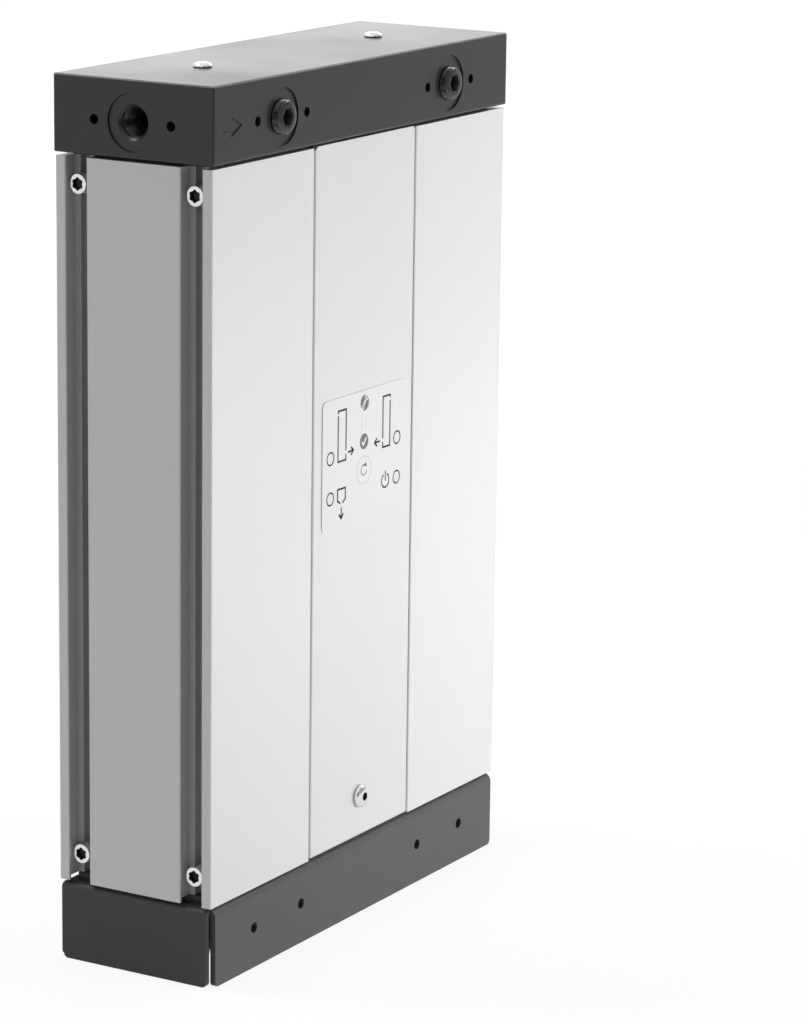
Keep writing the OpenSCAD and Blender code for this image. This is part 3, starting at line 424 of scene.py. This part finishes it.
# Column screws: sixteen zinc-plated M6 cap screws with a knurled head and a six-lobe socket. They
# pass through the groove floors into the inserts. One screw is lofted, and the tree copies it.
def loft(name, rings, closed_ends=True):
    around = len(rings[0])
    verts = [point for ring in rings for point in ring]
    faces = [(i * around + k, i * around + (k + 1) % around, (i + 1) * around + (k + 1) % around,
              (i + 1) * around + k) for i in range(len(rings) - 1) for k in range(around)]
    if closed_ends:
        faces.append(tuple(range(around - 1, -1, -1)))
        faces.append(tuple((len(rings) - 1) * around + k for k in range(around)))
    mesh = bpy.data.meshes.new(name)
    mesh.from_pydata(verts, [], faces)
    mesh.update()
    return mesh


def ring(around, radius, z):
    """Points round the Z axis at one height. The radius is a length or a function of the angle."""
    reach = radius if callable(radius) else lambda angle: radius
    angles = [2 * math.pi * k / around for k in range(around)]
    return [(reach(a) * math.cos(a), reach(a) * math.sin(a), z) for a in angles]


def turned_mesh(name, around, outside, socket, smooth):
    """Closed mesh through (radius, height) steps, up the outside and down into the socket. A face
    attribute marks the socket."""
    mesh = loft(name, [ring(around, radius, z) for radius, z in outside + socket])
    smooth_by_angle(mesh, smooth)
    inside = mesh.attributes.new("in_socket", "BOOLEAN", "FACE")
    sides = len(mesh.polygons) - 2
    for face in range(sides):
        inside.data[face].value = face >= len(outside) * around
    inside.data[sides + 1].value = True
    return mesh


def cap_screw(head_r, head_h, shank_r, shank_l):
    """Cap screw, its seat at zero and its head upwards."""
    lobe_outer_r, lobe_inner_r, lobe_depth = 2.95 * mm, 2.4 * mm, 3.0 * mm
    ridges, ridge_points, ridge_depth = 32, 6, 0.22 * mm
    tip, shank_edge, foot_edge, top_edge = 0.01 * mm, 0.5 * mm, 0.4 * mm, 0.55 * mm

    def knurl(angle):
        return head_r - ridge_depth / 2 * (1 + math.cos(ridges * angle))

    def lobes(grow):
        middle, swing = (lobe_outer_r + lobe_inner_r) / 2, (lobe_outer_r - lobe_inner_r) / 2
        return lambda angle: middle + grow + swing * math.cos(6 * angle)

    outside = [(tip, -shank_l), (shank_r - shank_edge, -shank_l), (shank_r, shank_edge - shank_l),
               (shank_r, 0), (head_r - foot_edge, 0), (knurl, foot_edge),
               (knurl, head_h - top_edge - 0.5 * mm), (head_r - 0.05 * mm, head_h - top_edge),
               (head_r - 0.2 * mm, head_h - 0.18 * mm), (head_r - top_edge, head_h)]
    socket = [(lobes(0.35 * mm), head_h), (lobes(0.02 * mm), head_h - 0.3 * mm),
              (lobes(0), head_h - 0.45 * mm), (lobes(0), head_h - lobe_depth),
              (tip, head_h - lobe_depth - 0.6 * mm)]
    return turned_mesh("column_screw", ridges * ridge_points, outside, socket, 35)


def new_tree(name, inputs):
    """Empty tree with named inputs. Returns it with its inputs' sockets and its result's."""
    tree = bpy.data.node_groups.new(name, "GeometryNodeTree")
    tree.interface.new_socket("Geometry", in_out="INPUT", socket_type="NodeSocketGeometry")
    for label, kind in inputs.items():
        tree.interface.new_socket(label, in_out="INPUT", socket_type="NodeSocket" + kind)
    tree.interface.new_socket("Geometry", in_out="OUTPUT", socket_type="NodeSocketGeometry")
    given, result = tree.nodes.new("NodeGroupInput"), tree.nodes.new("NodeGroupOutput")
    return tree, given.outputs, result.inputs["Geometry"]


def run_tree(name, mesh, tree, values):
    """Plain mesh object that holds what the tree makes of the mesh."""
    holder = add_object(name, mesh)
    modifier = holder.modifiers.new("maker", "NODES")
    modifier.node_group = tree
    for item in tree.interface.items_tree:
        if item.in_out == "INPUT" and item.name in values:
            modifier[item.identifier] = values[item.name]
    keep_result(holder, modifier)
    return holder


def turned_by(tree, shape, turn):
    return add_node(tree, "GeometryNodeTransform", {"Geometry": shape, "Rotation": turn})


def join(tree, *shapes):
    together = tree.nodes.new("GeometryNodeJoinGeometry")
    for shape in shapes:
        tree.links.new(shape, together.inputs["Geometry"])
    return together.outputs["Geometry"]


def finish_copies(tree, copies, given, result):
    """Makes the copies real and sets both materials; a dark socket material is painted shade."""
    marked = add_node(tree, "GeometryNodeInputNamedAttribute", {"Name": "in_socket"},
                      data_type="BOOLEAN")
    real = add_node(tree, "GeometryNodeRealizeInstances", {"Geometry": copies})
    coat = add_node(tree, "GeometryNodeSetMaterial",
                    {"Geometry": real, "Material": given["Finish"]})
    inner = add_node(tree, "GeometryNodeSetMaterial", {
        "Geometry": coat, "Selection": marked, "Material": given["Socket Material"]})
    tree.links.new(inner, result)


def screw_copies():
    """Copies at four seats on each side of both columns."""
    tree, given, result = new_tree("column_screw_copies", {
        "Pitch": "Float", "Rise": "Float", "Seat": "Float", "Column Centre": "Float",
        "Middle Height": "Float", "Finish": "Material", "Socket Material": "Material"})
    # The grid is laid out as height by depth, then turned so that it stands at the seats
    grid = add_node(tree, "GeometryNodeMeshGrid", {
        "Vertices X": 2, "Vertices Y": 2, "Size X": given["Rise"], "Size Y": given["Pitch"]})
    spread = add_node(tree, "GeometryNodeInstanceOnPoints",
                      {"Points": grid, "Instance": given["Geometry"]})
    seat = add_node(tree, "ShaderNodeCombineXYZ", {"X": given["Seat"]})
    stand = add_node(tree, "GeometryNodeTransform", {
        "Geometry": spread, "Rotation": (0, math.radians(90), 0), "Translation": seat})
    pair = join(tree, stand, turned_by(tree, stand, (0, 0, math.radians(180))))
    columns = []
    for side in (-1, 1):
        across = calculate(tree, "MULTIPLY", given["Column Centre"], side)
        offset = add_node(tree, "ShaderNodeCombineXYZ", {"X": across, "Z": given["Middle Height"]})
        columns.append(add_node(tree, "GeometryNodeTransform",
                                {"Geometry": pair, "Translation": offset}))
    finish_copies(tree, join(tree, *columns), given, result)
    return tree


screw_low_z, screw_high_z, screw_y = 55.1 * mm, 392.0 * mm, 33.7 * mm
groove_depth = 8.2 * mm
bright_zinc = finish("bright_zinc", (0.74, 0.74, 0.72), 0.17, metallic=0.95, spread=0.05,
                     scale=500)
# Painted shade: sockets of the screws and plugs get a near black colour, for the shade inside them
socket_painted_shade = finish("socket_painted_shade", (0.03, 0.03, 0.03), 0.5, metallic=0.5, scale=500, bump=0.03)
dress(bright_zinc, "left_column_screws", "right_column_screws")
column_screws = run_tree(
    "column_cap_screws", cap_screw(5.0 * mm, 6.0 * mm, 3.0 * mm, 30.0 * mm), screw_copies(), {
        "Pitch": 2 * screw_y, "Rise": screw_high_z - screw_low_z,
        "Seat": column_half - groove_depth, "Column Centre": column_middle,
        "Middle Height": (screw_high_z + screw_low_z) / 2, "Finish": bright_zinc,
        "Socket Material": socket_painted_shade})
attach(column_screws, "dryer")
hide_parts("left_column_screws", "right_column_screws")


# Covers: two extruded aluminium plates clip into the inner grooves and close the bay between the
# columns. One button-head screw holds each at the foot.
cover_edge = 0.25 * mm
cover_metal = anodised("cover_anodised", (0.64, 0.645, 0.64))
dress(cover_metal, "front_cover", "rear_cover")
for cover in ("front_cover", "rear_cover"):
    paint(break_edges(cover, cover_edge), cover_metal)


def hexagon_radius(angle, across_flats):
    sector = math.radians(60)
    return across_flats / 2 / math.cos((angle + sector / 2) % sector - sector / 2)


def button_screw(name, head_d, head_h, key, shank_d, shank_l):
    """Button-head screw with a hexagon socket, its seat at zero and its head upwards."""
    around, dome_steps = 96, 7
    tip, shank_edge, head_in, head_edge = 0.01 * mm, 0.4 * mm, 0.6 * mm, 0.45 * mm
    lead_in, drill_point = 0.12 * mm, 0.3 * mm
    head_r, shank_r = head_d / 2, shank_d / 2
    rim, mouth = head_edge + 0.1 * head_h, key / 2 * 1.3

    def hexagon(grow):
        return lambda angle: hexagon_radius(angle, key) + grow

    outside = [(tip, -shank_l), (shank_r - shank_edge, -shank_l), (shank_r, shank_edge - shank_l),
               (shank_r, 0), (head_r - head_in, 0), (head_r, head_edge), (head_r, rim)]
    for step in range(1, dome_steps + 1):
        turn = math.radians(90) * step / dome_steps
        outside.append((mouth + (head_r - mouth) * math.cos(turn),
                        rim + (head_h - rim) * math.sin(turn)))
    socket = [(hexagon(lead_in), head_h), (hexagon(0), head_h - lead_in),
              (hexagon(0), head_h / 2), (tip, head_h / 2 - drill_point)]
    return turned_mesh(name, around, outside, socket, 35)


def row_on_faces():
    """Copies in a row along X, and the same row again on the opposite face of the dryer."""
    tree, given, result = new_tree("row_on_faces", {
        "Turn": "Vector", "Place": "Vector", "Count": "Int", "Spacing": "Float",
        "Opposite Too": "Bool", "Finish": "Material", "Socket Material": "Material"})
    step = add_node(tree, "ShaderNodeCombineXYZ", {"X": given["Spacing"]})
    line = add_node(tree, "GeometryNodeMeshLine", {
        "Count": given["Count"], "Start Location": given["Place"], "Offset": step})
    spread = add_node(tree, "GeometryNodeInstanceOnPoints", {
        "Points": line, "Instance": turned_by(tree, given["Geometry"], given["Turn"])})
    other = add_node(tree, "GeometryNodeSwitch", {
        "Switch": given["Opposite Too"],
        "True": turned_by(tree, spread, (0, 0, math.radians(180)))}, input_type="GEOMETRY")
    finish_copies(tree, join(tree, spread, other), given, result)
    return tree


face_rows = row_on_faces()
facing_front = (math.radians(90), 0, 0)
cover_front, cover_screw_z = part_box("front_cover")[0][1], 63 * mm
dress(bright_zinc, "cover_screws")
cover_screws = run_tree(
    "cover_button_screws", button_screw("cover_screw", 12 * mm, 3.3 * mm, 4 * mm, 6 * mm, 12 * mm),
    face_rows, {
        "Turn": facing_front, "Place": (0, cover_front, cover_screw_z), "Count": 1,
        "Spacing": 0.0, "Opposite Too": True, "Finish": bright_zinc, "Socket Material": socket_painted_shade})
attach(cover_screws, "dryer")
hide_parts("cover_screws")


# Control foil: matt polyester film glued over the board's lamps and key, printed with the air
# paths. The points of the print are (x, z) in millimetres on the front of the dryer.
foil_film = finish("foil_film", (0.62, 0.63, 0.63), 0.45, spread=0.015, scale=1500, bump=0.03)
dress(foil_film, "control_foil")
foil_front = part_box("control_foil")[0][1]
ink_t = 0.03 * mm
dark_ink, grey_ink, pale_ink, white_ink = range(4)
line_w, ring_w, pale_w, key_w = 1.0, 0.8, 0.35, 0.55


def add_layer(shape, outline, ink):
    """Thin closed patch of ink, sunk in the foil, with its outline anticlockwise from the front.
    White ink lies over the others."""
    front_y = foil_front - (2 * ink_t if ink == white_ink else ink_t)
    front = [shape.verts.new((x * mm, front_y, z * mm)) for x, z in outline]
    back = [shape.verts.new((x * mm, foil_front + ink_t, z * mm)) for x, z in outline]
    faces = [shape.faces.new(front), shape.faces.new(back[::-1])]
    for k in range(len(outline)):
        after = (k + 1) % len(outline)
        faces.append(shape.faces.new((front[after], front[k], back[k], back[after])))
    for face in faces:
        face.material_index = ink


def add_line(shape, points, width, ink, closed=False):
    """Line of even width, mitred at its bends, as one closed patch for each stretch."""
    points = [Vector(p) for p in points]
    count = len(points)
    least_mitre = 0.3

    def side(i):
        before = points[i] - points[i - 1] if i > 0 or closed else None
        after = points[(i + 1) % count] - points[i] if i < count - 1 or closed else None
        runs = [run.normalized() for run in (before, after) if run is not None]
        along = sum(runs, Vector((0, 0))).normalized()
        across = Vector((-along.y, along.x))
        mitre = abs(across.dot(Vector((-runs[0].y, runs[0].x))))
        return across * (width / 2 / max(mitre, least_mitre))

    for i in range(count if closed else count - 1):
        j = (i + 1) % count
        add_layer(shape, [points[i] - side(i), points[j] - side(j), points[j] + side(j),
                          points[i] + side(i)], ink)


def arc(centre, radius, start=0, end=360, steps=36):
    """Points along an arc. A full turn doesn't repeat its first point."""
    turns = [math.radians(start + (end - start) * k / steps)
             for k in range(steps + (end - start < 360))]
    return [(centre[0] + radius * math.cos(t), centre[1] + radius * math.sin(t)) for t in turns]


def add_arrow(shape, tail, tip, reach):
    """Arrow with an open head."""
    tail, tip = Vector(tail), Vector(tip)
    along = (tip - tail).normalized()
    across = Vector((-along.y, along.x))
    back = tip - along * reach * 1.1
    add_line(shape, [tail, tip - along * line_w * 0.3], line_w, dark_ink)
    add_line(shape, [back + across * reach, tip, back - across * reach], line_w * 1.1, dark_ink)


def add_column(shape, outer_x, inner_x, low_z, high_z, air_out, air_in):
    """Outline of a column in two strokes, which leave a gap where air leaves and one where it
    enters."""
    add_line(shape, [(outer_x, air_out[1]), (outer_x, high_z), (inner_x, high_z),
                     (inner_x, air_in[1])], line_w, dark_ink)
    add_line(shape, [(inner_x, air_in[0]), (inner_x, low_z), (outer_x, low_z),
                     (outer_x, air_out[0])], line_w, dark_ink)


def foil_print():
    shape = bmesh.new()
    # The two columns of the air diagram, with the air's way into each
    add_column(shape, -25.2, -17.6, 244.3, 270.3, (267.9, 268.9), (247.2, 249.0))
    add_column(shape, 25.4, 18.4, 244.1, 270.5, (267.6, 269.0), (246.9, 248.7))
    add_arrow(shape, (-15.7, 247.8), (-10.4, 247.9), 2.1)
    add_arrow(shape, (15.7, 247.9), (10.4, 247.8), 2.1)
    # Windows of the four lamps
    for centre in ((-32.4, 247.2), (32.5, 246.9), (32.4, 226.1), (-32.3, 226.5)):
        add_line(shape, arc(centre, 3.25), ring_w, dark_ink, closed=True)
    # Water separator with its drain
    add_line(shape, [(-22.6, 222.5), (-25.3, 224.2), (-25.3, 230.0), (-17.8, 230.0),
                     (-17.8, 224.2), (-20.5, 222.5)], line_w, dark_ink)
    add_arrow(shape, (-21.6, 220.3), (-21.6, 214.6), 2.2)
    # Power sign
    add_line(shape, arc((21.4, 226.3), 3.6, 118, 422), line_w * 0.9, dark_ink)
    add_line(shape, [(21.4, 226.0), (21.4, 231.4)], line_w * 0.9, dark_ink)
    # Discs for service and for ready, with a spanner and a tick, and two lines between them
    for centre in ((0.2, 270.5), (0.0, 250.5)):
        add_layer(shape, arc(centre, 4.1), grey_ink)
    add_line(shape, [(-1.3, 268.7), (1.5, 272.2)], 1.2, white_ink)
    add_line(shape, arc((2.0, 272.9), 1.15, 80, 370, 14), 0.8, white_ink)
    add_line(shape, arc((-1.7, 268.2), 0.95, 0, 360, 14), 0.7, white_ink, closed=True)
    add_line(shape, [(-2.1, 250.5), (-0.6, 248.8), (2.1, 252.4)], 1.0, white_ink)
    for x in (-2.1, 1.7):
        add_line(shape, [(x, 256.5), (x, 264.8)], pale_w, pale_ink)
    # Key with a turned arrow for reset
    key_centre = (0.1, 235.7)
    add_line(shape, arc(key_centre, 7.1), key_w, pale_ink, closed=True)
    add_line(shape, arc(key_centre, 2.7, 60, 350, 24), 0.6, grey_ink)
    add_layer(shape, [(1.5, 239.9), (0.1, 237.6), (3.0, 237.2)], grey_ink)
    mesh = bpy.data.meshes.new("foil_print")
    shape.to_mesh(mesh)
    shape.free()
    return mesh


printed = add_object("foil_print", foil_print())
for name, shade in (("ink_dark", 0.022), ("ink_grey", 0.16), ("ink_pale", 0.52),
                    ("ink_white", 0.74)):
    printed.data.materials.append(finish(name, (shade,) * 3, 0.5, spread=0.04, scale=1500,
                                         ior=1.2))
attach(printed, "dryer")
dress(finish("lamp_window", (0.25, 0.45, 0.16), 0.3, scale=500), "status_lamps")
dress(finish("key_moulding", (0.70, 0.70, 0.70), 0.45, scale=500, bump=0.03), "reset_key")
dress(finish("board_mask", (0.014, 0.10, 0.04), 0.35, scale=500, bump=0.04, coat=0.3),
      "circuit_board")
dress(finish("terminal_moulding", (0.05, 0.20, 0.07), 0.45, scale=600, bump=0.04),
      "board_terminal")


# Head block: aluminium bar, milled all over and anodised satin black, with ports in its ends and
# faces. It stands on both columns and is held by the screws of the top inserts.
head_low, head_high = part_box("head_block")
head_edge, port_x, port_drop = 0.3 * mm, 80 * mm, 20.5 * mm
port_z = head_high[2] - port_drop
head_black = finish("head_black", (0.021, 0.021, 0.020), 0.36, rough_spread=0.07, scale=700,
                    bump=0.012, bump_scale=900, mottle=7, ior=1.45)
dress(head_black, "head_block")
paint(break_edges("head_block", head_edge), head_black)


# Port threads: G3/8 threads cut in the two end ports. Each is a closed ring of helical ridges that
# lies against the wall of the port, from the chamfer of its mouth inwards.
thread_pitch, thread_turn_points, thread_round = 1.337 * mm, 8, 64
port_wall_r, port_ridge, port_gap = 7.47 * mm, 0.55 * mm, 0.02 * mm
port_thread_from, port_thread_l, thread_smooth = 2.4 * mm, 12.4 * mm, 50


def ridge(angle, z):
    """Height of a thread's ridge from 0 to 1, at an angle about the axis and a place along it."""
    root_share, flank_share = 0.12, 0.76
    turn = (z / thread_pitch + angle / (2 * math.pi)) % 1
    return max(0.0, min(1.0, (abs(2 * turn - 1) - root_share) / flank_share))


def port_thread():
    steps = round(port_thread_l / thread_pitch * thread_turn_points)
    places = [-port_thread_from - port_thread_l * i / steps for i in range(steps + 1)]
    rings = []
    for i, z in enumerate(places):
        fade = min(1.0, i / thread_turn_points, (steps - i) / thread_turn_points)
        rings.append(ring(thread_round, lambda a: (
            port_wall_r - port_gap - port_ridge * fade * ridge(a, z)), z))
    rings += [ring(thread_round, port_wall_r, z) for z in (places[-1], places[0])]
    mesh = loft("port_thread", rings + rings[:1], closed_ends=False)
    shape = bmesh.new()
    shape.from_mesh(mesh)
    bmesh.ops.remove_doubles(shape, verts=shape.verts, dist=0.0001 * mm)
    bmesh.ops.recalc_face_normals(shape, faces=shape.faces)
    shape.to_mesh(mesh)
    shape.free()
    smooth_by_angle(mesh, thread_smooth)
    mesh.attributes.new("in_socket", "BOOLEAN", "FACE")
    return mesh


cut_thread = finish("cut_thread", (0.05, 0.05, 0.048), 0.3, metallic=0.5, scale=600, bump=0.03)
port_threads = run_tree("port_threads", port_thread(), face_rows, {
    "Turn": (0, math.radians(-90), 0), "Place": (head_low[0], 0, port_z), "Count": 1,
    "Spacing": 0.0, "Opposite Too": True, "Finish": cut_thread, "Socket Material": cut_thread})
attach(port_threads, "dryer")


# Port plugs: burnished steel plugs screwed into the spare ports, front and rear. Their last
# threads show round the collar, and a hexagon key turns them.
plug_r, plug_root, plug_proud, plug_chamfer = 8.25 * mm, 0.72 * mm, 3.2 * mm, 0.7 * mm
plug_key, plug_key_depth, plug_turn = 8 * mm, 6 * mm, math.radians(30)
plug_foot, plug_body_r, plug_foot_edge = 9 * mm, 7.42 * mm, 0.4 * mm
plug_smooth = 40


def port_plug():
    """Plug with the port's face at zero and its collar upwards."""
    tip, seat, cone, mouth_r, face_edge = 0.01 * mm, -1.0 * mm, 1.3 * mm, 5.4 * mm, 0.12 * mm
    shoulder, face_r = plug_proud - plug_chamfer, plug_r - plug_chamfer

    def threaded(fade, z):
        return lambda angle: plug_r - plug_root * fade * (1 - ridge(angle, z))

    def hexagon(grow):
        return lambda angle: hexagon_radius(angle + plug_turn, plug_key) + grow

    outside = [(tip, -plug_foot), (plug_body_r - plug_foot_edge, -plug_foot),
               (plug_body_r, plug_foot_edge - plug_foot), (plug_body_r, seat - cone),
               (plug_r - plug_root, seat - 0.05 * mm)]
    steps = round((shoulder - seat) / thread_pitch * thread_turn_points)
    for i in range(steps + 1):
        z = seat + (shoulder - seat) * i / steps
        fade = min(1.0, (steps - i) / (0.4 * thread_turn_points))
        outside.append((threaded(fade, z), z))
    outside += [(face_r, plug_proud - face_edge / 2), (face_r - face_edge, plug_proud),
                (mouth_r, plug_proud)]
    socket = [(hexagon(0.2 * mm), plug_proud), (hexagon(0), plug_proud - 0.25 * mm),
              (hexagon(0), plug_proud - plug_key_depth),
              (tip, plug_proud - plug_key_depth - 1.0 * mm)]
    return turned_mesh("port_plug", thread_round, outside, socket, plug_smooth)


burnished = finish("burnished_steel", (0.075, 0.075, 0.073), 0.24, metallic=0.95, spread=0.12,
                   scale=500, bump=0.05)
dress(burnished, "port_plugs")
port_plugs = run_tree("threaded_port_plugs", port_plug(), face_rows, {
    "Turn": facing_front, "Place": (-port_x, head_low[1], port_z), "Count": 2,
    "Spacing": 2 * port_x, "Opposite Too": True, "Finish": burnished,
    "Socket Material": socket_painted_shade})
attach(port_plugs, "dryer")
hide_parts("port_plugs")


# Head top screws: two zinc-plated button-head screws close the test points above the cross bores.
# They stand on the top of the head, and their small sockets are as bright as the rest of them.
dress(bright_zinc, "head_top_screws")
head_top_screws = run_tree(
    "head_button_screws",
    button_screw("head_screw", 9.5 * mm, 2.53 * mm, 2.5 * mm, 5 * mm, 8 * mm), face_rows, {
        "Turn": (0, 0, 0), "Place": (-port_x, 0, head_high[2]), "Count": 2,
        "Spacing": 2 * port_x, "Opposite Too": False, "Finish": bright_zinc,
        "Socket Material": bright_zinc})
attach(head_top_screws, "dryer")
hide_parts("head_top_screws")
